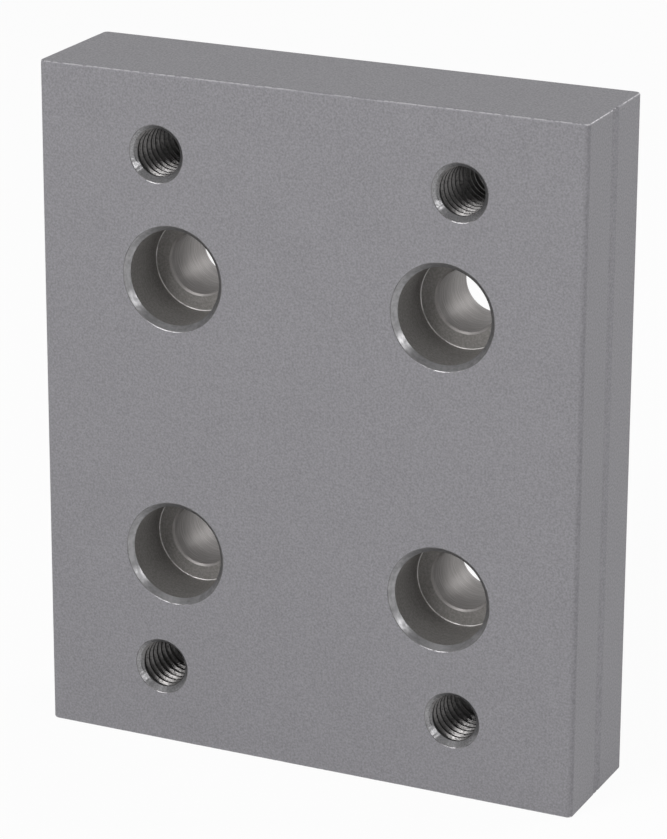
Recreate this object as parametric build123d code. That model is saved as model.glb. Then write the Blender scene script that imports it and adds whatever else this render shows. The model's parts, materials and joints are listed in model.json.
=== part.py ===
"""Machined mounting block: one piece of aluminium flat bar, sawn to length and drilled.

Four counterbored holes take cap screws with their heads sunk below the front face, and four
tapped holes near the corners take screws from whatever is bolted to the block.  The block
stands on its lower sawn end: X is its width, +Z its height, and the front face looks along -Y.
The origin is the middle of the lower end.  All sizes are in millimetres.
"""

from build123d import *
import os

# Flat bar
WIDTH = 80.0
THICKNESS = 19.0
HEIGHT = 97.0
LONG_EDGE_RADIUS = 0.8      # left by the die on the four long edges
END_EDGE_RADIUS = 0.3       # sawn ends, edges broken all round

# Fine centre lines along both narrow sides, two shallow V grooves side by side
CENTRE_LINE_COUNT = 2
CENTRE_LINE_WIDTH = 1.2
CENTRE_LINE_DEPTH = 0.25

# Cap screws that hold the block down, and the holes they pass through
CAP_SCREW_DIAMETER = 8.0
CAP_HEAD_DIAMETER = 13.0
CAP_HEAD_HEIGHT = 8.0
SHANK_CLEARANCE = 0.8       # on the diameter
HEAD_CLEARANCE = 0.5        # on the diameter
HEAD_SINK = 0.3             # how far the head lies below the front face
CAP_SPACING_X = 40.0
CAP_SPACING_Z = 40.0
COUNTERBORE_CHAMFER = 0.75
SEAT_CHAMFER = 0.3          # where the clearance hole leaves the counterbore's floor
BACK_CHAMFER = 0.5          # where the clearance hole leaves the back face

# Tapped holes through the block
THREAD_DIAMETER = 8.0
THREAD_PITCH = 1.25
TAPPED_SPACING_X = 44.5
TAPPED_SPACING_Z = 74.6
COUNTERSINK_OVERSIZE = 0.1  # mouth of the countersink over the thread's diameter

# Geometry shared by the cutters
MINOR_DEPTH_IN_PITCHES = 1.0825  # an internal metric thread's bore is d - 1.0825 P
OVERRUN = 0.5                    # how far a cutter runs past the face it opens


def hole_grid(spacing_x, spacing_z):
    """Return the four hole places of a pattern that is centred on the front face."""
    front_centre = Plane(
        origin=(0, -THICKNESS / 2, HEIGHT / 2), x_dir=(1, 0, 0), z_dir=(0, -1, 0)
    )
    return front_centre * GridLocations(spacing_x, spacing_z, 2, 2)


def turned_cutter(profile):
    """Revolve (radius, depth) points about the hole's axis; depth runs in from the front face."""
    outline = Polygon(*[(radius, -depth) for radius, depth in profile], align=None)
    upright = revolve(outline, axis=Axis.Y)
    return Rot(90, 0, 0) * upright


def flat_bar():
    """Make the sawn length of bar, with its rounded long edges and broken end edges."""
    section = RectangleRounded(WIDTH, THICKNESS, LONG_EDGE_RADIUS)
    bar = extrude(section, HEIGHT)
    ends = bar.faces().sort_by(Axis.Z)
    end_edges = ends[0].edges() + ends[-1].edges()
    return fillet(end_edges, END_EDGE_RADIUS)


def centre_lines():
    """Make the cutters of the shallow V grooves that run up the middle of both narrow sides."""
    half = CENTRE_LINE_WIDTH / 2
    flare = half * (CENTRE_LINE_DEPTH + OVERRUN) / CENTRE_LINE_DEPTH
    root_x = WIDTH / 2 - CENTRE_LINE_DEPTH
    mouth_x = WIDTH / 2 + OVERRUN
    cutters = []
    for index in range(CENTRE_LINE_COUNT):
        middle_y = (index - (CENTRE_LINE_COUNT - 1) / 2) * CENTRE_LINE_WIDTH
        vee = Polygon(
            (root_x, middle_y),
            (mouth_x, middle_y - flare),
            (mouth_x, middle_y + flare),
            align=None,
        )
        groove = extrude(vee, HEIGHT)
        cutters += [groove, mirror(groove, about=Plane.YZ)]
    return cutters


def counterbored_hole():
    """Make the cutter of one clearance hole with its counterbore and three chamfers."""
    shank_radius = (CAP_SCREW_DIAMETER + SHANK_CLEARANCE) / 2
    head_radius = (CAP_HEAD_DIAMETER + HEAD_CLEARANCE) / 2
    seat_depth = CAP_HEAD_HEIGHT + HEAD_SINK
    return turned_cutter([
        (0, -OVERRUN),
        (head_radius + COUNTERBORE_CHAMFER + OVERRUN, -OVERRUN),
        (head_radius, COUNTERBORE_CHAMFER),
        (head_radius, seat_depth),
        (shank_radius + SEAT_CHAMFER, seat_depth),
        (shank_radius, seat_depth + SEAT_CHAMFER),
        (shank_radius, THICKNESS - BACK_CHAMFER),
        (shank_radius + BACK_CHAMFER + OVERRUN, THICKNESS + OVERRUN),
        (0, THICKNESS + OVERRUN),
    ])


def tapped_hole():
    """Make the cutter of one tapped hole: the thread's bore, countersunk at both faces."""
    bore_radius = (THREAD_DIAMETER - MINOR_DEPTH_IN_PITCHES * THREAD_PITCH) / 2
    mouth_radius = (THREAD_DIAMETER + COUNTERSINK_OVERSIZE) / 2
    countersink_depth = mouth_radius - bore_radius
    return turned_cutter([
        (0, -OVERRUN),
        (mouth_radius + OVERRUN, -OVERRUN),
        (bore_radius, countersink_depth),
        (bore_radius, THICKNESS - countersink_depth),
        (mouth_radius + OVERRUN, THICKNESS + OVERRUN),
        (0, THICKNESS + OVERRUN),
    ])


def mounting_block():
    """Cut the grooves and both hole patterns out of the bar."""
    counterbore = counterbored_hole()
    tapping = tapped_hole()
    cutters = centre_lines()
    cutters += [place * counterbore for place in hole_grid(CAP_SPACING_X, CAP_SPACING_Z)]
    cutters += [place * tapping for place in hole_grid(TAPPED_SPACING_X, TAPPED_SPACING_Z)]
    return flat_bar() - cutters


os.makedirs("parts", exist_ok=True)
export_step(mounting_block(), "parts/mounting_block.step")
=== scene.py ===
# %% [markdown]
# # Machined mounting block
# The real thing is one piece of flat bar.  It looks sawn to length and blasted to a plain matte
# grey, and then drilled, counterbored and tapped, because the cuts inside its holes show bare
# metal.  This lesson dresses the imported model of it.  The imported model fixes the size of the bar
# and of each hole, so the lesson starts by reading it.

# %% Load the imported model
import json
import math

import bmesh
import bpy
from mathutils import Matrix, Vector


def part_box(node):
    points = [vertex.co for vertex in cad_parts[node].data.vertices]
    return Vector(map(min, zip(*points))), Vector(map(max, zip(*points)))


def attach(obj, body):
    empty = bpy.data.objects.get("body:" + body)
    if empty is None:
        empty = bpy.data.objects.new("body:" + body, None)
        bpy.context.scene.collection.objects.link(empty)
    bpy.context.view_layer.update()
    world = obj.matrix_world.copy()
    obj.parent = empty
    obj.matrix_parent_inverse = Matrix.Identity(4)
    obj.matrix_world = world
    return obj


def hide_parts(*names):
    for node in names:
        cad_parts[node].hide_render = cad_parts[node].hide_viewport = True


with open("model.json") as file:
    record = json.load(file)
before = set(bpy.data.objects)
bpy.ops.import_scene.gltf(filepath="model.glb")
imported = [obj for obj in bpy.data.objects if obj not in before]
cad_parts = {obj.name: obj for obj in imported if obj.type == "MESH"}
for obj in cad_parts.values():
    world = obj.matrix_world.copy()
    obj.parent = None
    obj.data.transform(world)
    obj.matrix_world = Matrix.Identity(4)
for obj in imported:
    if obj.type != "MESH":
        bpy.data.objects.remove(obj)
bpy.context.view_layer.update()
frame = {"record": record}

MM = 0.001
NODE = "mounting_block"
low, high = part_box(NODE)
print("bar, mm:", [round(size / MM, 3) for size in high - low])

# %% [markdown]
# ## Read the holes from the record
# Each hole is a mount in the record, with its place, radius and length.  The chamfers aren't
# mounts, but they are what is left between a straight stretch of a hole and the face that it
# opens in, so their sizes follow from the same numbers.

# %% Sizes of the two kinds of hole
mounts = {mount["name"]: mount for mount in frame["record"]["mounts"]}


def straight_stretch(name):
    """Give the radius of one bore, and how deep below the front face it starts and ends."""
    mount = mounts[name]
    middle_depth = mount["pos_m"][1] - low.y
    half_length = mount["dims"]["length_mm"] * MM / 2
    return mount["dims"]["r_mm"] * MM, middle_depth - half_length, middle_depth + half_length


thickness = high.y - low.y
head_radius, counterbore_chamfer, seat_depth = straight_stretch("head_seat_upper_left")
shank_radius, shank_start, shank_end = straight_stretch("screw_hole_upper_left")
bore_radius, countersink_depth, bore_end = straight_stretch("tapped_hole_upper_left")
seat_chamfer = shank_start - seat_depth
back_chamfer = thickness - shank_end
print("counterbore radius and depth, mm:", round(head_radius / MM, 3), round(seat_depth / MM, 3))
print("tapped bore radius, mm:", round(bore_radius / MM, 3))

# %% [markdown]
# ## Finishes
# Twelve finishes share the block.  The flats are blasted, so they scatter light and show a fine
# grain.  The centre lines lie low, and their grey is painted a little lighter, as painted light
# against the shade in their V.  The sawn ends have their edges broken, and handling has rubbed
# those corners bright.  Each cut inside a hole looks different: the counterbore is dull, the
# drilled wall below it keeps fine rings, the chamfers are smooth, and the thinnest edges are bare
# bright metal.  The corner at the foot of each counterbore is painted pale as a painted highlight.
# The tapped holes have a chattered countersink, and their thread crests and grooves are painted
# dark as painted shade.  The names come first and the nodes later, so that each surface can be
# given its finish as it is made.

# %% Name the finishes
FINISHES = ["blasted_flat", "centre_line", "rubbed_corner", "bored_wall", "faced_seat",
            "drilled_wall", "cut_chamfer", "bright_edge", "rolled_corner", "countersink",
            "thread_crest", "thread_groove"]
(BLASTED, LINE, RUBBED, BORED, FACED, DRILLED, CHAMFER,
 BRIGHT, ROLLED, COUNTERSINK, CREST, GROOVE) = range(len(FINISHES))
finishes = [bpy.data.materials.new(name) for name in FINISHES]


def add_object(name, mesh):
    """Put a mesh in the scene as an object that can wear any of the finishes."""
    made = bpy.data.objects.new(name, mesh)
    bpy.context.scene.collection.objects.link(made)
    for finish in finishes:
        mesh.materials.append(finish)
    return made


# %% [markdown]
# ## The bar
# Flat bar leaves its die with rounded long edges, and its sawn ends get a smaller rounding.  It
# could be a cube with two Bevel modifiers, but two roundings of different size meet at every
# corner, and a stack of rings is simpler to control.  Each ring is the plan of the bar, drawn in
# by a little more as it nears an end.

# %% Build the bar ring by ring
LONG_EDGE_RADIUS = 0.8 * MM
END_EDGE_RADIUS = 0.3 * MM
ROUNDING_STEPS = 8


def quarter_turns(steps):
    """Give the angles that divide a quarter turn into even steps."""
    return [math.pi / 2 * step / steps for step in range(steps + 1)]


def plan_ring(inset):
    """Give the outline of the bar in plan, drawn in by the inset."""
    radius = LONG_EDGE_RADIUS - inset
    points = []
    for corner, (side_x, side_y) in enumerate([(1, 1), (-1, 1), (-1, -1), (1, -1)]):
        centre_x = side_x * (high.x - LONG_EDGE_RADIUS)
        centre_y = side_y * (high.y - LONG_EDGE_RADIUS)
        for turn in quarter_turns(ROUNDING_STEPS):
            angle = turn + corner * math.pi / 2
            points.append((centre_x + radius * math.cos(angle), centre_y + radius * math.sin(angle)))
    return points


def ring_levels():
    """Give the height, inset and finish of each ring, from the lower end to the upper."""
    rounding = [(END_EDGE_RADIUS * (1 - math.cos(turn)), END_EDGE_RADIUS * (1 - math.sin(turn)))
                for turn in quarter_turns(ROUNDING_STEPS)]
    lower = [(low.z + rise, inset, RUBBED) for rise, inset in rounding]
    upper = [(high.z - rise, inset, RUBBED) for rise, inset in reversed(rounding)]
    lower[-1] = (lower[-1][0], lower[-1][1], BLASTED)
    return lower + upper


def bar_mesh():
    """Join the rings into one closed skin."""
    work = bmesh.new()
    levels = ring_levels()
    rings = [[work.verts.new((x, y, height)) for x, y in plan_ring(inset)]
             for height, inset, finish in levels]
    for (lower, upper), (height, inset, finish) in zip(zip(rings, rings[1:]), levels):
        for here in range(len(lower)):
            after = (here + 1) % len(lower)
            face = work.faces.new((lower[here], lower[after], upper[after], upper[here]))
            face.material_index = finish
    for end in (rings[0], rings[-1]):
        work.faces.new(end)
    bmesh.ops.recalc_face_normals(work, faces=work.faces)
    mesh = bpy.data.meshes.new("bar")
    work.to_mesh(mesh)
    work.free()
    return mesh


block = add_object("drilled_block", bar_mesh())
print("bar faces:", len(block.data.polygons))

# %% [markdown]
# ## Centre lines
# The die leaves two fine lines side by side up the middle of both narrow sides, so that a
# fitter can find the middle.  They are shallow V grooves.  One W-shaped cutter on each side makes
# both at once, and the crest between them stays a hair below the flat, as a pressed edge would.

# %% Cutters for the centre lines
LINE_WIDTH = 1.2 * MM
LINE_DEPTH = 0.25 * MM
CREST_DROP = 0.01 * MM
OVERRUN = 0.5 * MM


def centre_line_cutters():
    """Make one upright W-shaped prism for each narrow side."""
    flare = LINE_WIDTH / 2 * (LINE_DEPTH + OVERRUN) / LINE_DEPTH
    outline = [
        (-OVERRUN, -LINE_WIDTH / 2 - flare),
        (LINE_DEPTH, -LINE_WIDTH / 2),
        (CREST_DROP, 0),
        (LINE_DEPTH, LINE_WIDTH / 2),
        (-OVERRUN, LINE_WIDTH / 2 + flare),
    ]
    work = bmesh.new()
    for side in (-1, 1):
        ends = [[work.verts.new((side * (high.x - depth), y, height)) for depth, y in outline]
                for height in (low.z - OVERRUN, high.z + OVERRUN)]
        for here in range(len(outline)):
            after = (here + 1) % len(outline)
            face = work.faces.new((ends[0][here], ends[0][after], ends[1][after], ends[1][here]))
            face.material_index = LINE
        for end in ends:
            work.faces.new(end)
    bmesh.ops.recalc_face_normals(work, faces=work.faces)
    mesh = bpy.data.meshes.new("centre_lines")
    work.to_mesh(mesh)
    work.free()
    return mesh


centre_lines = add_object("centre_line_cutters", centre_line_cutters())

# %% [markdown]
# ## Turned cutters
# A drill, a counterbore and a countersink all sweep a profile about the hole's axis, so their
# cutters are turned the same way here.  A profile is a short list of radius, depth and the finish
# of the surface that runs on from that point.  Real cutting tools have slightly rounded corners,
# and those leave the thin bright rings seen inside a hole, so the profile may round a corner.

# %% Turn a profile into a cutter
TURN_STEPS = 96
CORNER_STEPS = 4


def rounded_profile(corners):
    """Replace each corner that has a rounding by a short arc.

    A corner is a list of radius, depth, rounding and finish.
    """
    points = []
    for index, (radius, depth, rounding, finish) in enumerate(corners):
        here = Vector((radius, depth))
        if not rounding:
            points.append((here, finish))
            continue
        before = Vector(corners[index - 1][:2])
        after = Vector(corners[index + 1][:2])
        towards_before = (before - here).normalized()
        towards_after = (after - here).normalized()
        half_angle = towards_before.angle(towards_after) / 2
        reach = rounding / math.tan(half_angle)
        inwards = (towards_before + towards_after).normalized()
        centre = here + inwards * rounding / math.sin(half_angle)
        start = here + towards_before * reach - centre
        end = here + towards_after * reach - centre
        sweep = start.angle_signed(end)
        for step in range(CORNER_STEPS + 1):
            turn = Matrix.Rotation(-sweep * step / CORNER_STEPS, 2)
            last = step == CORNER_STEPS
            points.append((centre + turn @ start, finish if last else ROLLED))
    return points


def turned_cutter(name, corners):
    """Revolve a profile about the Y axis and close it at the axis."""
    work = bmesh.new()
    rows = []
    for point, finish in rounded_profile(corners):
        turns = [2 * math.pi * step / TURN_STEPS for step in range(TURN_STEPS)]
        if point.x == 0:
            rows.append(([work.verts.new((0, point.y, 0))] * TURN_STEPS, finish))
            continue
        ring = [work.verts.new((point.x * math.cos(turn), point.y, point.x * math.sin(turn)))
                for turn in turns]
        rows.append((ring, finish))
    for (ring, finish), (following, _) in zip(rows, rows[1:]):
        for here in range(TURN_STEPS):
            after = (here + 1) % TURN_STEPS
            corners_of_face = [ring[here], ring[after], following[after], following[here]]
            face = work.faces.new(list(dict.fromkeys(corners_of_face)))
            face.material_index = finish
    bmesh.ops.recalc_face_normals(work, faces=work.faces)
    mesh = bpy.data.meshes.new(name)
    work.to_mesh(mesh)
    work.free()
    return add_object(name, mesh)


# %% [markdown]
# ## Profiles of the holes
# The counterbored hole steps down from a mouth chamfer to the wide bore for a screw's head, a flat
# seat with a small chamfer, and the clearance hole for the shank.  The tapped hole is a plain bore
# with a cone at each end, until its thread is cut.  Both profiles run past the two faces, so that
# no skin is left over a mouth.

# %% Profiles of the counterbored hole and of the tapped hole's bore
FLOOR_CORNER = 0.12 * MM        # rounding where the counterbore's wall meets its floor
SEAT_SLOPE = math.radians(34)   # the seat's chamfer lies flatter than the mouth's
MOUTH_BREAK = 0.05 * MM         # fine break where a chamfer meets the front face
mouth_radius = bore_radius + countersink_depth


def broken_mouth(radius, chamfer, finish):
    """Start a profile: a fine bright break at the face, then the chamfer down to this radius."""
    rim = radius + chamfer
    return [
        (0, -OVERRUN, 0, BRIGHT),
        (rim + 3 * MOUTH_BREAK, -OVERRUN, 0, BRIGHT),
        (rim + 3 * MOUTH_BREAK, -MOUTH_BREAK, 0, BRIGHT),
        (rim - MOUTH_BREAK, MOUTH_BREAK, 0, finish),
    ]


counterbore_profile = broken_mouth(head_radius, counterbore_chamfer, CHAMFER) + [
    (head_radius, counterbore_chamfer, 0, BORED),
    (head_radius, seat_depth, FLOOR_CORNER, FACED),
    (shank_radius + seat_chamfer, seat_depth, 0, DRILLED),
    (shank_radius, seat_depth + seat_chamfer * math.tan(SEAT_SLOPE), 0, DRILLED),
    (shank_radius, thickness - back_chamfer, 0, CHAMFER),
    (shank_radius + back_chamfer + OVERRUN, thickness + OVERRUN, 0, CHAMFER),
    (0, thickness + OVERRUN, 0, CHAMFER),
]
bore_profile = broken_mouth(bore_radius, countersink_depth, COUNTERSINK) + [
    (bore_radius, countersink_depth, 0, CREST),
    (bore_radius, thickness - countersink_depth, 0, COUNTERSINK),
    (mouth_radius + OVERRUN, thickness + OVERRUN, 0, COUNTERSINK),
    (0, thickness + OVERRUN, 0, COUNTERSINK),
]
counterbore_cutter = turned_cutter("counterbore_cutter", counterbore_profile)
bore_cutter = turned_cutter("bore_cutter", bore_profile)

# %% [markdown]
# ## Repeat the cutters over their patterns
# Both kinds of hole sit on a rectangle about the middle of the face.  A Geometry Nodes tree
# stands one cutter on each corner of a two-by-two grid.  Its spacing and middle are named inputs,
# read from the record, so the same tree serves both patterns.  The finish of each face is kept
# as a number on the cutter's faces, and the tree turns that number back into a material.

# %% Helpers for node trees
def new_node(tree, kind, **settings):
    """Add a node and set its plain properties."""
    node = tree.nodes.new(kind)
    for name, value in settings.items():
        setattr(node, name, value)
    return node


def feed(tree, socket, source):
    """Link a socket to another node's output, or give it a constant."""
    if isinstance(source, bpy.types.NodeSocket):
        tree.links.new(source, socket)
    else:
        socket.default_value = source


def soft_ramp(tree, source, start, end, low_value=0.0, high_value=1.0):
    """Stretch a number from one range to another, with soft ends."""
    node = new_node(tree, "ShaderNodeMapRange", interpolation_type="SMOOTHSTEP")
    for socket, given in zip(node.inputs, (source, start, end, low_value, high_value)):
        feed(tree, socket, given)
    return node.outputs[0]


def new_tree(name, inputs):
    """Start a Geometry Nodes tree with named inputs.  Give the tree and its input node."""
    tree = bpy.data.node_groups.new(name, "GeometryNodeTree")
    for label, kind in inputs:
        tree.interface.new_socket(label, in_out="INPUT", socket_type=kind)
    tree.interface.new_socket("Geometry", in_out="OUTPUT", socket_type="NodeSocketGeometry")
    return tree, new_node(tree, "NodeGroupInput")


def grown_object(name, tree, values):
    """Run a tree on an empty mesh with these input values, and keep the result as a plain mesh."""
    seed = add_object(name, bpy.data.meshes.new(name + "_seed"))
    modifier = seed.modifiers.new(name, "NODES")
    modifier.node_group = tree
    for item in tree.interface.items_tree:
        if item.in_out == "INPUT" and item.name in values:
            modifier[item.identifier] = values[item.name]
    evaluated = seed.evaluated_get(bpy.context.evaluated_depsgraph_get())
    grown = bpy.data.meshes.new_from_object(evaluated)
    seed.modifiers.clear()
    seed.data = grown
    print(name, "faces:", len(grown.polygons))
    return seed


def on_pattern(tree, given, instance):
    """Stand an instance on each hole of a two-by-two pattern and realize it."""
    grid = new_node(tree, "GeometryNodeMeshGrid")
    feed(tree, grid.inputs["Size X"], given.outputs["Spacing X"])
    feed(tree, grid.inputs["Size Y"], given.outputs["Spacing Z"])
    feed(tree, grid.inputs["Vertices X"], 2)
    feed(tree, grid.inputs["Vertices Y"], 2)
    upright = new_node(tree, "GeometryNodeTransform")
    feed(tree, upright.inputs["Geometry"], grid.outputs["Mesh"])
    feed(tree, upright.inputs["Translation"], given.outputs["Middle"])
    feed(tree, upright.inputs["Rotation"], (math.pi / 2, 0, 0))
    stand = new_node(tree, "GeometryNodeInstanceOnPoints")
    feed(tree, stand.inputs["Points"], upright.outputs["Geometry"])
    feed(tree, stand.inputs["Instance"], instance)
    realize = new_node(tree, "GeometryNodeRealizeInstances")
    feed(tree, realize.inputs["Geometry"], stand.outputs["Instances"])
    return realize.outputs["Geometry"]


def pattern_values(name):
    """Read a pattern's spacing and the middle of its front from the record."""
    mount = mounts[name]
    return {
        "Spacing X": mount["dims"]["spacing_x_mm"] * MM,
        "Spacing Z": mount["dims"]["spacing_y_mm"] * MM,
        "Middle": (mount["pos_m"][0], low.y, mount["pos_m"][2]),
    }


PATTERN_INPUTS = [("Spacing X", "NodeSocketFloat"), ("Spacing Z", "NodeSocketFloat"),
                  ("Middle", "NodeSocketVector")]


# %% [markdown]
# ## The tree for turned cutters
# The tree sets the materials itself as its last step, so that each realized face is sure to wear
# its finish.  It compares the number on the face with each finish in turn, and dresses the face
# where they match.

# %% The tree that repeats a turned cutter
def repeated_cutter_tree():
    """Repeat a cutter on a pattern, and dress its faces by their finish number."""
    tree, given = new_tree("cutters_on_pattern", PATTERN_INPUTS + [("Cutter", "NodeSocketObject")])
    cutter = new_node(tree, "GeometryNodeObjectInfo")
    feed(tree, cutter.inputs["Object"], given.outputs["Cutter"])
    body = on_pattern(tree, given, cutter.outputs["Geometry"])
    number = new_node(tree, "GeometryNodeInputNamedAttribute", data_type="INT")
    feed(tree, number.inputs["Name"], "finish")
    for index, finish in enumerate(finishes):
        same = new_node(tree, "FunctionNodeCompare", data_type="INT", operation="EQUAL")
        feed(tree, same.inputs[2], number.outputs["Attribute"])
        feed(tree, same.inputs[3], index)
        dress = new_node(tree, "GeometryNodeSetMaterial")
        feed(tree, dress.inputs["Geometry"], body)
        feed(tree, dress.inputs["Selection"], same.outputs["Result"])
        feed(tree, dress.inputs["Material"], finish)
        body = dress.outputs["Geometry"]
    out = new_node(tree, "NodeGroupOutput")
    feed(tree, out.inputs["Geometry"], body)
    return tree


def number_finishes(cutter):
    """Keep each face's finish as a number that the tree can read."""
    numbers = [face.material_index for face in cutter.data.polygons]
    cutter.data.attributes.new("finish", "INT", "FACE").data.foreach_set("value", numbers)


repeat_tree = repeated_cutter_tree()
hole_cutters = []
for cutter, pattern in ((counterbore_cutter, "cap_screw_pattern"), (bore_cutter, "tapped_pattern")):
    number_finishes(cutter)
    values = dict(pattern_values(pattern), Cutter=cutter)
    hole_cutters.append(grown_object(pattern + "_cutters", repeat_tree, values))
    bpy.data.objects.remove(cutter)

# %% [markdown]
# ## The thread
# A tap cuts a V groove that winds down the bore as a helix.  An internal metric thread has
# flanks at sixty degrees, a flat of an eighth of the pitch at the groove's root and a flat of a
# quarter of the pitch on the crest between grooves, and those shares give the whole groove
# from the pitch and the diameter.  The tree sweeps the groove's section along a spiral.  At the
# mouth the first turn is dressed away with the countersink, so the groove fades in over a
# quarter turn below it, and the cone stays whole.

# %% The tree that makes the thread's cutter
THREAD_PITCH = 1.25 * MM
THREAD_RADIUS = 4.0 * MM
STEPS_PER_TURN = 64
CUTTER_REACH = 0.18 * MM        # how far the cutter stands into the open bore
FADE_START = 0.40 * MM          # depth below the face where the groove begins
FADE_END = 0.70 * MM            # depth at which it is full


def faded_start(tree, given, curve, middle_radius, groove_depth):
    """Draw the first part of the helix in towards its axis."""
    along = new_node(tree, "GeometryNodeSplineParameter")
    turns = new_node(tree, "ShaderNodeMath", operation="MULTIPLY")
    feed(tree, turns.inputs[0], along.outputs["Factor"])
    feed(tree, turns.inputs[1], given.outputs["Turns"])
    drop = new_node(tree, "ShaderNodeMath", operation="DIVIDE")
    feed(tree, drop.inputs[0], groove_depth)
    feed(tree, drop.inputs[1], middle_radius)
    drawn_in = new_node(tree, "ShaderNodeMath", operation="SUBTRACT")
    feed(tree, drawn_in.inputs[0], 1.0)
    feed(tree, drawn_in.inputs[1], drop.outputs[0])
    share = soft_ramp(tree, turns.outputs[0], given.outputs["Fade Start"],
                      given.outputs["Fade End"], drawn_in.outputs[0], 1.0)
    factors = new_node(tree, "ShaderNodeCombineXYZ")
    feed(tree, factors.inputs["X"], share)
    feed(tree, factors.inputs["Y"], share)
    feed(tree, factors.inputs["Z"], 1.0)
    scaled = new_node(tree, "ShaderNodeVectorMath", operation="MULTIPLY")
    feed(tree, scaled.inputs[0], new_node(tree, "GeometryNodeInputPosition").outputs[0])
    feed(tree, scaled.inputs[1], factors.outputs[0])
    moved = new_node(tree, "GeometryNodeSetPosition")
    feed(tree, moved.inputs["Geometry"], curve)
    feed(tree, moved.inputs["Position"], scaled.outputs[0])
    return moved.outputs["Geometry"]


def thread_tree():
    """Sweep the groove's section along a right-hand helix and repeat it on the pattern."""
    tree, given = new_tree("thread_cutters", PATTERN_INPUTS + [
        ("Pitch", "NodeSocketFloat"), ("Inner Radius", "NodeSocketFloat"),
        ("Outer Radius", "NodeSocketFloat"), ("Inner Width", "NodeSocketFloat"),
        ("Outer Width", "NodeSocketFloat"), ("Turns", "NodeSocketFloat"),
        ("Fade Start", "NodeSocketFloat"), ("Fade End", "NodeSocketFloat"),
        ("Steps per Turn", "NodeSocketInt")])

    def maths(operation, first, second):
        node = new_node(tree, "ShaderNodeMath", operation=operation)
        feed(tree, node.inputs[0], first)
        feed(tree, node.inputs[1], second)
        return node.outputs[0]

    inner, outer = given.outputs["Inner Radius"], given.outputs["Outer Radius"]
    middle_radius = maths("MULTIPLY", maths("ADD", inner, outer), 0.5)
    length = maths("MULTIPLY", given.outputs["Pitch"], given.outputs["Turns"])
    helix = new_node(tree, "GeometryNodeCurveSpiral")
    feed(tree, helix.inputs["Resolution"], given.outputs["Steps per Turn"])
    feed(tree, helix.inputs["Rotations"], given.outputs["Turns"])
    feed(tree, helix.inputs["Start Radius"], middle_radius)
    feed(tree, helix.inputs["End Radius"], middle_radius)
    feed(tree, helix.inputs["Height"], length)
    feed(tree, helix.inputs["Reverse"], True)
    groove_depth = maths("SUBTRACT", outer, inner)
    faded = faded_start(tree, given, helix.outputs["Curve"], middle_radius, groove_depth)
    upright = new_node(tree, "GeometryNodeSetCurveNormal", mode="Z_UP")
    feed(tree, upright.inputs["Curve"], faded)
    section = new_node(tree, "GeometryNodeCurvePrimitiveQuadrilateral", mode="TRAPEZOID")
    feed(tree, section.inputs["Height"], groove_depth)
    feed(tree, section.inputs["Bottom Width"], given.outputs["Inner Width"])
    feed(tree, section.inputs["Top Width"], given.outputs["Outer Width"])
    feed(tree, section.inputs["Offset"], 0.0)
    outwards = new_node(tree, "GeometryNodeTransform")
    feed(tree, outwards.inputs["Geometry"], section.outputs["Curve"])
    feed(tree, outwards.inputs["Rotation"], (0, 0, -math.pi / 2))
    sweep = new_node(tree, "GeometryNodeCurveToMesh")
    feed(tree, sweep.inputs["Curve"], upright.outputs["Curve"])
    feed(tree, sweep.inputs["Profile Curve"], outwards.outputs["Geometry"])
    feed(tree, sweep.inputs["Fill Caps"], True)
    # The helix grows along Z; lay it along Y, starting one pitch in front of the face.
    overrun = new_node(tree, "ShaderNodeCombineXYZ")
    feed(tree, overrun.inputs["Y"], maths("MULTIPLY", given.outputs["Pitch"], -1.0))
    along = new_node(tree, "GeometryNodeTransform")
    feed(tree, along.inputs["Geometry"], sweep.outputs["Mesh"])
    feed(tree, along.inputs["Translation"], overrun.outputs["Vector"])
    feed(tree, along.inputs["Rotation"], (-math.pi / 2, 0, 0))
    body = on_pattern(tree, given, along.outputs["Geometry"])
    dress = new_node(tree, "GeometryNodeSetMaterial")
    feed(tree, dress.inputs["Geometry"], body)
    feed(tree, dress.inputs["Material"], finishes[GROOVE])
    out = new_node(tree, "NodeGroupOutput")
    feed(tree, out.inputs["Geometry"], dress.outputs["Geometry"])
    return tree


inner_radius = bore_radius - CUTTER_REACH
root_width = THREAD_PITCH / 8
flank_spread = 2 * math.tan(math.radians(30))       # width gained per depth of groove
thread_values = dict(pattern_values("tapped_pattern"), **{
    "Pitch": THREAD_PITCH,
    "Inner Radius": inner_radius,
    "Outer Radius": THREAD_RADIUS,
    "Inner Width": root_width + flank_spread * (THREAD_RADIUS - inner_radius),
    "Outer Width": root_width,
    "Turns": thickness / THREAD_PITCH + 2,
    "Fade Start": FADE_START / THREAD_PITCH + 1,
    "Fade End": FADE_END / THREAD_PITCH + 1,
    "Steps per Turn": STEPS_PER_TURN,
})
thread_cutters = grown_object("thread_cutters", thread_tree(), thread_values)

# %% [markdown]
# ## Cut the bar
# The Boolean modifier takes each set of cutters away from the bar.  The Manifold solver is quick
# and exact on closed meshes, and its Transfer mode hands each cut surface the finish that its
# cutter wears, which is how a real tool leaves its mark.

# %% Take the cutters away
cutters = [centre_lines] + hole_cutters + [thread_cutters]
for cutter in cutters:
    cut = block.modifiers.new(cutter.name, "BOOLEAN")
    cut.operation = "DIFFERENCE"
    cut.solver = "MANIFOLD"
    cut.material_mode = "TRANSFER"
    cut.object = cutter
evaluated = block.evaluated_get(bpy.context.evaluated_depsgraph_get())
drilled = bpy.data.meshes.new_from_object(evaluated)
block.modifiers.clear()
block.data = drilled
for cutter in cutters:
    bpy.data.objects.remove(cutter)
print("faces after cutting:", len(drilled.polygons))

# %% [markdown]
# ## Edges and shading
# Round surfaces are made of flat strips, so they are shaded smooth, and real corners are marked
# sharp.  The Weighted Normal modifier then lets a large flat keep its own direction where it
# meets a narrow rounding, so flats look flat.

# %% Merge, mark corners and weight the normals
SAME_POINT = 0.0005 * MM
CORNER_ANGLE = math.radians(18)


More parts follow.
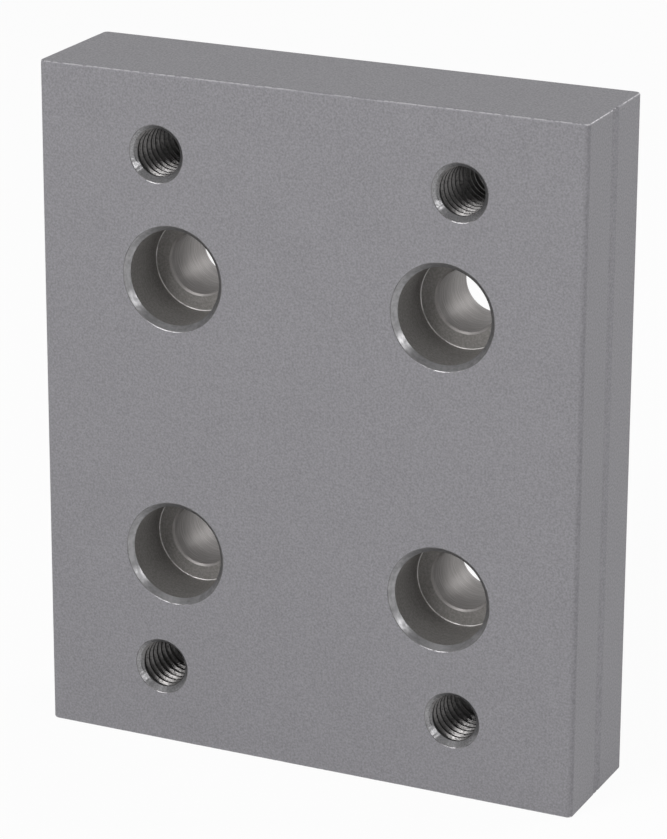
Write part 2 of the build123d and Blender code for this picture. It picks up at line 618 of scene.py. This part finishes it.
def tidy_edges(mesh):
    """Weld stray doubles, shade smooth and mark the real corners."""
    work = bmesh.new()
    work.from_mesh(mesh)
    bmesh.ops.remove_doubles(work, verts=work.verts, dist=SAME_POINT)
    bmesh.ops.dissolve_degenerate(work, dist=SAME_POINT, edges=work.edges)
    for face in work.faces:
        face.smooth = True
    for edge in work.edges:
        edge.smooth = edge.is_manifold and edge.calc_face_angle() < CORNER_ANGLE
    open_edges = sum(not edge.is_manifold for edge in work.edges)
    volume = work.calc_volume()
    work.to_mesh(mesh)
    work.free()
    print("open edges:", open_edges, " volume, mm3:", round(volume / MM**3, 1))


tidy_edges(drilled)
weight = block.modifiers.new("weight", "WEIGHTED_NORMAL")
weight.keep_sharp = True
weight.weight = 100
evaluated = block.evaluated_get(bpy.context.evaluated_depsgraph_get())
finished = bpy.data.meshes.new_from_object(evaluated)
block.modifiers.clear()
block.data = finished
print("slots:", [material.name if material else None for material in finished.materials])

# %% [markdown]
# ## Materials
# Each finish is a Principled shader with its own colour, shine and fine relief.  Every pattern
# reads Object coordinates in metres, so its scale is the real one: a noise of scale 4000 has
# grains a quarter of a millimetre across.

# %% Helpers for materials
class Finish:
    """One material's tree, with short names for the nodes that the finishes share."""

    def __init__(self, index, metallic, specular):
        material = finishes[index]
        material.use_nodes = True
        self.tree = material.node_tree
        self.shader = self.tree.nodes["Principled BSDF"]
        self.shader.inputs["Metallic"].default_value = metallic
        self.shader.inputs["Specular IOR Level"].default_value = specular
        self.place = new_node(self.tree, "ShaderNodeTexCoord")
        split = new_node(self.tree, "ShaderNodeSeparateXYZ")
        feed(self.tree, split.inputs[0], self.place.outputs["Object"])
        self.x, self.y, self.z = split.outputs

    def maths(self, operation, first, second=0.0, third=0.0):
        """Work out one number."""
        node = new_node(self.tree, "ShaderNodeMath", operation=operation)
        for socket, source in zip(node.inputs, (first, second, third)):
            feed(self.tree, socket, source)
        return node.outputs[0]

    def vector(self, x, y, z):
        """Join three numbers into a place."""
        node = new_node(self.tree, "ShaderNodeCombineXYZ")
        for socket, source in zip(node.inputs, (x, y, z)):
            feed(self.tree, socket, source)
        return node.outputs[0]

    def noise(self, scale, detail=2.0, place=None):
        """Give a soft random pattern between about 0 and 1."""
        node = new_node(self.tree, "ShaderNodeTexNoise")
        feed(self.tree, node.inputs["Vector"], place or self.place.outputs["Object"])
        feed(self.tree, node.inputs["Scale"], scale)
        feed(self.tree, node.inputs["Detail"], detail)
        return node.outputs["Fac"]

    def ramp(self, source, start, end, low_value=0.0, high_value=1.0):
        """Stretch a number from one range to another, with soft ends."""
        return soft_ramp(self.tree, source, start, end, low_value, high_value)

    def blend(self, share, first, second):
        """Mix two colours."""
        node = new_node(self.tree, "ShaderNodeMix", data_type="RGBA")
        feed(self.tree, node.inputs[0], share)
        for socket, colour in ((node.inputs[6], first), (node.inputs[7], second)):
            if not isinstance(colour, bpy.types.NodeSocket):
                colour = (*colour, 1)
            feed(self.tree, socket, colour)
        return node.outputs[2]

    def relief(self, height, depth, under=None):
        """Raise the surface by a height between 0 and 1 of this depth."""
        node = new_node(self.tree, "ShaderNodeBump")
        feed(self.tree, node.inputs["Height"], height)
        feed(self.tree, node.inputs["Distance"], depth)
        if under:
            feed(self.tree, node.inputs["Normal"], under)
        return node.outputs["Normal"]

    def about_hole(self, pattern):
        """Give the radius and the angle about the nearest hole of a pattern."""
        mount = mounts[pattern]
        across = mount["dims"]["spacing_x_mm"] * MM / 2
        up = mount["dims"]["spacing_y_mm"] * MM / 2
        height = self.maths("SUBTRACT", self.z, mount["pos_m"][2])
        side_x = self.maths("MULTIPLY", self.maths("SIGN", self.x), across)
        side_z = self.maths("MULTIPLY", self.maths("SIGN", height), up)
        near_x = self.maths("SUBTRACT", self.x, side_x)
        near_z = self.maths("SUBTRACT", height, side_z)
        squares = self.maths("ADD", self.maths("MULTIPLY", near_x, near_x),
                             self.maths("MULTIPLY", near_z, near_z))
        return self.maths("SQRT", squares), self.maths("ARCTAN2", near_z, near_x)

    def rings(self, radius, angle, scale, stretch):
        """Give streaks that run round the hole, as a turning tool leaves them."""
        along = self.maths("MULTIPLY", self.maths("MULTIPLY_ADD", self.y, 1.7, radius), scale)
        round_x = self.maths("MULTIPLY", self.maths("COSINE", angle), stretch)
        round_z = self.maths("MULTIPLY", self.maths("SINE", angle), stretch)
        return self.noise(1.0, 3.0, self.vector(along, round_x, round_z))

    def wear(self, colour, roughness, normal=None):
        """Join the finished colour, roughness and relief to the shader."""
        feed(self.tree, self.shader.inputs["Base Color"], colour)
        feed(self.tree, self.shader.inputs["Roughness"], roughness)
        if normal:
            feed(self.tree, self.shader.inputs["Normal"], normal)


def shade(colour, factor):
    """Give a lighter or darker colour."""
    return tuple(channel * factor for channel in colour)


NOISE_MIDDLE = (0.3, 0.7)       # most of a noise lies in this range


# %% [markdown]
# ## Blasted flats
# Blasting with fine beads leaves tiny dents.  Seen from a hand's length away they are a fine even
# grain.  A fine noise gives the grain, both as tone and as relief, and a
# slower one keeps a large flat from looking printed.  The centre lines are the same skin, painted
# a shade lighter as painted light against the shade in their V.

# %% Blasted finish
GREY = (0.262, 0.257, 0.273)
LINE_PAINTED_LIGHT = 1.13                # how much lighter the centre lines are painted: painted light against the shade in their V
GRAIN_SCALE = 3600.0            # grains per metre
CLOUD_SCALE = 160.0
CLOUD_SHARE = 0.15              # the rest of the tone is grain
GRAIN_RANGE = (0.2, 0.8)
GRAIN_DEPTH = 0.004 * MM


def blasted_colour(finish, tint):
    """Give the grey of the blasted skin with its grain, and the grain itself."""
    grain = finish.noise(GRAIN_SCALE, 3.0)
    cloud = finish.noise(CLOUD_SCALE, 3.0)
    grain_share = finish.ramp(grain, *GRAIN_RANGE, 0.0, 1 - CLOUD_SHARE)
    tone = finish.maths("MULTIPLY_ADD", cloud, CLOUD_SHARE, grain_share)
    return finish.blend(tone, shade(tint, 0.78), shade(tint, 1.22)), grain


def blasted_finish(index, tint):
    """Dress the flats or the centre lines."""
    finish = Finish(index, metallic=0.15, specular=0.2)
    colour, grain = blasted_colour(finish, tint)
    roughness = finish.ramp(grain, *GRAIN_RANGE, 0.60, 0.48)
    finish.wear(colour, roughness, finish.relief(grain, GRAIN_DEPTH))


blasted_finish(BLASTED, GREY)
# The centre lines get painted light: their grey is lifted against the shade in their V.
blasted_finish(LINE, shade(GREY, LINE_PAINTED_LIGHT))


# %% [markdown]
# ## Rubbed corners
# The grey skin is thin, and sharp edges lose it first.  The mask keeps to the middle of the
# rounding, where the surface faces neither flat.  A slow noise leaves a few stretches covered,
# and a quick one nicks the rest, as knocks and rubbing do.

# %% Rubbed finish
BARE_METAL = (0.54, 0.53, 0.55)
FLAT_FACING = 0.90              # a normal's largest part, where the rounding nears a flat
MIDDLE_FACING = 0.76            # and where it is midway between two flats
STRETCH_SCALE = 140.0
NICK_SCALE = 1300.0


def rubbed_finish():
    """Dress the broken edges of the sawn ends."""
    finish = Finish(RUBBED, metallic=0.35, specular=0.4)
    skin, grain = blasted_colour(finish, GREY)
    facing = new_node(finish.tree, "ShaderNodeSeparateXYZ")
    feed(finish.tree, facing.inputs[0], finish.place.outputs["Normal"])
    sizes = [finish.maths("ABSOLUTE", part) for part in facing.outputs]
    squarest = finish.maths("MAXIMUM", finish.maths("MAXIMUM", sizes[0], sizes[1]), sizes[2])
    crest = finish.ramp(squarest, FLAT_FACING, MIDDLE_FACING)
    stretches = finish.ramp(finish.noise(STRETCH_SCALE, 4.0), 0.36, 0.46)
    nicks = finish.ramp(finish.noise(NICK_SCALE, 3.0), 0.34, 0.56)
    bare = finish.maths("MULTIPLY", crest, finish.maths("MULTIPLY", stretches, nicks))
    roughness = finish.ramp(bare, 0.0, 1.0, 0.55, 0.38)
    finish.wear(finish.blend(bare, skin, BARE_METAL), roughness, finish.relief(grain, GRAIN_DEPTH))


rubbed_finish()


# %% [markdown]
# ## Bored and drilled walls
# A cutting tool feeds a little with each turn and leaves fine rings.  The rings follow the hole's
# own axis, so the pattern needs the radius and the angle about the nearest hole, and those come
# from the object's coordinates and the record.

# %% Walls and floors of the counterbored holes
BORED_GREY = (0.275, 0.266, 0.257)
FACED_GREY = (0.282, 0.271, 0.261)
DRILLED_GREY = (0.285, 0.271, 0.265)
RING_SCALE = 6500.0             # rings per metre of feed
RING_SHARE = 0.35               # the rest of the tone is grain
RING_DEPTH = 0.006 * MM


def bored_finish(index, tint):
    """Dress the wall or the floor of the counterbores."""
    finish = Finish(index, metallic=0.55, specular=0.4)
    radius, angle = finish.about_hole("cap_screw_pattern")
    streaks = finish.rings(radius, angle, RING_SCALE, 1.2)
    grain = finish.noise(GRAIN_SCALE, 3.0)
    grain_share = finish.maths("MULTIPLY", grain, 1 - RING_SHARE)
    tone = finish.maths("MULTIPLY_ADD", streaks, RING_SHARE, grain_share)
    colour = finish.blend(finish.ramp(tone, *NOISE_MIDDLE), shade(tint, 0.84), shade(tint, 1.16))
    roughness = finish.ramp(grain, *NOISE_MIDDLE, 0.66, 0.56)
    finish.wear(colour, roughness, finish.relief(tone, GRAIN_DEPTH))


def drilled_finish():
    """Dress the wall of the clearance holes and the small chamfer above it."""
    finish = Finish(DRILLED, metallic=0.6, specular=0.5)
    radius, angle = finish.about_hole("cap_screw_pattern")
    streaks = finish.rings(radius, angle, RING_SCALE, 1.6)
    tone = finish.ramp(streaks, *NOISE_MIDDLE)
    colour = finish.blend(tone, shade(DRILLED_GREY, 0.84), shade(DRILLED_GREY, 1.16))
    roughness = finish.ramp(streaks, *NOISE_MIDDLE, 0.60, 0.50)
    finish.wear(colour, roughness, finish.relief(streaks, RING_DEPTH))


bored_finish(BORED, BORED_GREY)
bored_finish(FACED, FACED_GREY)
drilled_finish()


# %% [markdown]
# ## Chamfers and bright edges
# A chamfering tool rubs as much as it cuts.  It leaves a smoother face with short smears along
# the cut.  Where two cuts meet, the metal is rolled into a hair-thin edge, with small nicks in
# it.  The corner at the foot of the counterbore is such an edge too, painted pale and dull as a
# painted highlight, so its thin ring shows light all the way round.

# %% Chamfers and edges
CUT_GREY = (0.290, 0.287, 0.294)
EDGE_METAL = (0.21, 0.205, 0.21)
# The pale grey of the counterbore's foot corner is a painted highlight.
CORNER_PAINTED_HIGHLIGHT = (0.66, 0.64, 0.63)
SMEAR_SCALE = 1500.0
SMEAR_SHARE = 0.6               # the rest of the tone is streaks along the cut
SMEAR_DEPTH = 0.006 * MM
EDGE_NICK_SCALE = 1100.0


def chamfer_finish():
    """Dress the chamfers of the counterbored holes."""
    finish = Finish(CHAMFER, metallic=0.85, specular=0.5)
    radius, angle = finish.about_hole("cap_screw_pattern")
    streaks = finish.rings(radius, angle, 5000.0, 6.0)
    smears = finish.noise(SMEAR_SCALE, 3.0)
    streak_share = finish.maths("MULTIPLY", streaks, 1 - SMEAR_SHARE)
    tone = finish.maths("MULTIPLY_ADD", smears, SMEAR_SHARE, streak_share)
    share = finish.ramp(tone, 0.35, 0.65)
    colour = finish.blend(share, shade(CUT_GREY, 0.84), shade(CUT_GREY, 1.16))
    roughness = finish.ramp(tone, 0.35, 0.65, 0.41, 0.29)
    finish.wear(colour, roughness, finish.relief(tone, SMEAR_DEPTH))


def edge_finish(index, metal, metallic):
    """Dress the thin edges where two cuts meet."""
    finish = Finish(index, metallic=metallic, specular=0.5)
    nicks = finish.ramp(finish.noise(EDGE_NICK_SCALE, 3.0), 0.32, 0.55)
    colour = finish.blend(nicks, shade(metal, 0.62), metal)
    finish.wear(colour, finish.ramp(nicks, 0.0, 1.0, 0.48, 0.34))


chamfer_finish()
edge_finish(BRIGHT, EDGE_METAL, metallic=0.9)
# The corner at the foot of the counterbore is painted pale: a painted highlight along its ring.
edge_finish(ROLLED, CORNER_PAINTED_HIGHLIGHT, metallic=0.3)


# %% [markdown]
# ## Countersinks and threads
# A countersink in soft metal shivers a little and leaves short marks across its cone, like the
# spokes of a wheel.  A wave round the angle gives them, bent by a noise so that no two are alike.
# The grooves and crests that the tap and the drill leave are painted dark as shade, the crests
# darkest, and the painted shade sets in a little way below the mouth, so the first turn keeps the
# cone's grey.

# %% Countersunk and tapped finishes
# The crest and groove greys are painted shade for the dim inside of the tapped holes.
CREST_PAINTED_SHADE = (0.050, 0.048, 0.047)
GROOVE_PAINTED_SHADE = (0.150, 0.145, 0.144)
CHATTER_MARKS = 34              # marks round one cone
CHATTER_WANDER = 6.0            # how far a noise bends them, in radians of the wave
CHATTER_DEPTH = 0.012 * MM
CONE_GRAIN_SCALE = 4200.0
CONE_GRAIN_DEPTH = 0.003 * MM
THREAD_GRAIN_SCALE = 3500.0
UNSHADED_DEPTH = 0.6 * MM          # how far in from a mouth the thread keeps the cone's grey, before its painted shade sets in


def countersink_finish():
    """Dress the cones at the mouths of the tapped holes."""
    finish = Finish(COUNTERSINK, metallic=0.85, specular=0.5)
    radius, angle = finish.about_hole("tapped_pattern")
    wander = finish.maths("MULTIPLY", finish.noise(900.0, 2.0), CHATTER_WANDER)
    chatter = finish.maths("SINE", finish.maths("MULTIPLY_ADD", angle, CHATTER_MARKS, wander))
    height = finish.ramp(chatter, -1.0, 1.0)
    grain = finish.noise(CONE_GRAIN_SCALE, 2.0)
    tone = finish.ramp(grain, *NOISE_MIDDLE)
    colour = finish.blend(tone, shade(CUT_GREY, 0.82), shade(CUT_GREY, 1.18))
    roughness = finish.ramp(grain, *NOISE_MIDDLE, 0.40, 0.30)
    finish.wear(colour, roughness,
                finish.relief(height, CHATTER_DEPTH, finish.relief(grain, CONE_GRAIN_DEPTH)))


def thread_finish(index, tint, roughness):
    """Dress the crests or the grooves of the threads, painted dark as shade below the mouth."""
    finish = Finish(index, metallic=0.85, specular=0.5)
    grain = finish.noise(THREAD_GRAIN_SCALE, 3.0)
    # Painted shade: below the mouth the colour turns from the cone's grey to the dark tint.
    depth = finish.maths("SUBTRACT", thickness / 2, finish.maths("ABSOLUTE", finish.y))
    inside = finish.ramp(depth, UNSHADED_DEPTH, 2 * UNSHADED_DEPTH)
    plain = finish.blend(inside, CUT_GREY, tint)
    dark = finish.blend(inside, shade(CUT_GREY, 0.7), shade(tint, 0.6))
    colour = finish.blend(finish.ramp(grain, 0.3, 0.55), dark, plain)
    shine = finish.ramp(grain, *NOISE_MIDDLE, roughness + 0.06, roughness - 0.06)
    finish.wear(colour, shine, finish.relief(grain, GRAIN_DEPTH))


countersink_finish()
thread_finish(CREST, CREST_PAINTED_SHADE, roughness=0.58)
thread_finish(GROOVE, GROOVE_PAINTED_SHADE, roughness=0.36)
print("finishes:", [finish.name for finish in finishes])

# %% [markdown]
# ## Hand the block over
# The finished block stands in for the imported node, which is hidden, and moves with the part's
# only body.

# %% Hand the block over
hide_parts(NODE)
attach(block, "root")
print("triangles:", sum(len(face.vertices) - 2 for face in block.data.polygons))

# %% [markdown]
# ## Floor
# The block stands on a pale floor.  The camera, gloss and glass see the floor nearly white, while
# the light that it throws back on the block is that of plain pale paint.  A small share of the
# paint stays in view, and with it the block's soft shadow.

# %% Floor
FLOOR_SIZE = 6.0
FLOOR_PAINT = (0.88, 0.88, 0.88, 1)
WHITE_SHARE = 0.95


def seen_directly(tree):
    """Give 1 for rays from the camera, from gloss and through glass, and 0 for plain light."""
    path = new_node(tree, "ShaderNodeLightPath")
    either = path.outputs["Is Camera Ray"]
    for name in ("Is Glossy Ray", "Is Transmission Ray"):
        node = new_node(tree, "ShaderNodeMath", operation="MAXIMUM")
        feed(tree, node.inputs[0], either)
        feed(tree, node.inputs[1], path.outputs[name])
        either = node.outputs[0]
    return either


def two_faced(tree, share, plain, shown, output):
    """Join a plain surface and the one that is shown, by a share, to the tree's output."""
    mix = new_node(tree, "ShaderNodeMixShader")
    feed(tree, mix.inputs[0], share)
    feed(tree, mix.inputs[1], plain)
    feed(tree, mix.inputs[2], shown)
    feed(tree, new_node(tree, output).inputs["Surface"], mix.outputs[0])


def pale_paint():
    """Make the floor's material."""
    material = bpy.data.materials.new("pale_floor")
    material.use_nodes = True
    tree = material.node_tree
    tree.nodes.clear()
    paint = new_node(tree, "ShaderNodeBsdfDiffuse")
    feed(tree, paint.inputs["Color"], FLOOR_PAINT)
    white = new_node(tree, "ShaderNodeEmission")
    share = new_node(tree, "ShaderNodeMath", operation="MULTIPLY")
    feed(tree, share.inputs[0], seen_directly(tree))
    feed(tree, share.inputs[1], WHITE_SHARE)
    two_faced(tree, share.outputs[0], paint.outputs[0], white.outputs[0], "ShaderNodeOutputMaterial")
    return material


def lay_floor():
    """Lay a square floor under the block."""
    mesh = bpy.data.meshes.new("floor")
    half = FLOOR_SIZE / 2
    corners = [(side_x * half, side_y * half, low.z)
               for side_x, side_y in ((-1, -1), (1, -1), (1, 1), (-1, 1))]
    mesh.from_pydata(corners, [], [(0, 1, 2, 3)])
    mesh.materials.append(pale_paint())
    floor = bpy.data.objects.new("floor", mesh)
    bpy.context.scene.collection.objects.link(floor)


lay_floor()

# %% [markdown]
# ## Sky
# The sky's light dims from the horizon to the zenith, so the upright faces get more of it than
# the top.  In gloss most of the sky is white, and the room in front of the block and above it is
# dim, which gives the bare metal something to mirror.

# %% Sky
HORIZON_LIGHT = 0.47
ZENITH_LIGHT = 0.11
ROOM_IN_GLOSS = 0.22
ROOM_SIDE = (-0.25, 0.10)       # the room fades out over this part of the way to the back
ROOM_HEIGHT = (0.02, 0.20)      # and fades in over this part of the way up


def background(tree, strength):
    """Add a white background of this strength."""
    node = new_node(tree, "ShaderNodeBackground")
    feed(tree, node.inputs["Color"], (1, 1, 1, 1))
    feed(tree, node.inputs["Strength"], strength)
    return node.outputs[0]


def make_sky():
    """Make the world."""
    world = bpy.data.worlds.new("studio")
    world.use_nodes = True
    tree = world.node_tree
    tree.nodes.clear()
    place = new_node(tree, "ShaderNodeTexCoord")
    parts = new_node(tree, "ShaderNodeSeparateXYZ")
    feed(tree, parts.inputs[0], place.outputs["Generated"])
    room = new_node(tree, "ShaderNodeMath", operation="MULTIPLY")
    feed(tree, room.inputs[0], soft_ramp(tree, parts.outputs["Y"], *ROOM_SIDE, 1.0, 0.0))
    feed(tree, room.inputs[1], soft_ramp(tree, parts.outputs["Z"], *ROOM_HEIGHT))
    shown = soft_ramp(tree, room.outputs[0], 0.0, 1.0, 1.0, ROOM_IN_GLOSS)
    light = soft_ramp(tree, parts.outputs["Z"], 0.0, 1.0, HORIZON_LIGHT, ZENITH_LIGHT)
    two_faced(tree, seen_directly(tree), background(tree, light), background(tree, shown),
              "ShaderNodeOutputWorld")
    bpy.context.scene.world = world


make_sky()

# %% [markdown]
# ## Lamps
# A broad lamp from the front and left gives the form.  A smaller one from the right puts the
# sheen on the chamfers.  A third from behind and above shines into the clearance holes and lights
# their far walls.

# %% Lamps
block_middle = (low + high) / 2


def soft_lamp(name, towards, distance, size, power):
    """Hang a square lamp in a direction from the block, facing it."""
    data = bpy.data.lights.new(name, "AREA")
    data.size = size
    data.energy = power
    lamp = bpy.data.objects.new(name, data)
    bpy.context.scene.collection.objects.link(lamp)
    way = Vector(towards).normalized()
    lamp.location = block_middle + way * distance
    lamp.rotation_euler = (-way).to_track_quat("-Z", "Y").to_euler()


soft_lamp("key", towards=(-0.32, -0.78, 0.53), distance=1.0, size=0.42, power=5.2)
soft_lamp("side", towards=(0.72, -0.51, 0.46), distance=0.9, size=0.28, power=1.3)
soft_lamp("back", towards=(0.58, 0.62, 0.52), distance=0.9, size=0.28, power=2.2)

# %% [markdown]
# ## Camera
# The camera stands half a metre off, to the right of the front and a little above, with a long
# lens, so the upright edges stay nearly parallel.  It looks at a point on the front face.

# %% Camera
AIM = Vector((4.283, -9.5, 51.984)) * MM
AZIMUTH = math.radians(24.900)
ELEVATION = math.radians(19.074)
ROLL = math.radians(0.233)
DISTANCE = 508.1 * MM
LENS = 161.72
SENSOR = 36


def place_camera():
    """Stand the camera, turn it to the block and make it the scene's own."""
    data = bpy.data.cameras.new("camera")
    data.lens = LENS
    data.sensor_fit = "VERTICAL"
    data.sensor_width = SENSOR
    data.sensor_height = SENSOR
    camera = bpy.data.objects.new("camera", data)
    bpy.context.scene.collection.objects.link(camera)
    back = Vector((math.sin(AZIMUTH) * math.cos(ELEVATION),
                   -math.cos(AZIMUTH) * math.cos(ELEVATION), math.sin(ELEVATION)))
    camera.location = AIM + back * DISTANCE
    level = (-back).to_track_quat("-Z", "Y").to_matrix()
    camera.rotation_euler = (level @ Matrix.Rotation(ROLL, 3, "Z")).to_euler()
    bpy.context.scene.camera = camera


place_camera()
bpy.context.scene.view_settings.view_transform = "Standard"
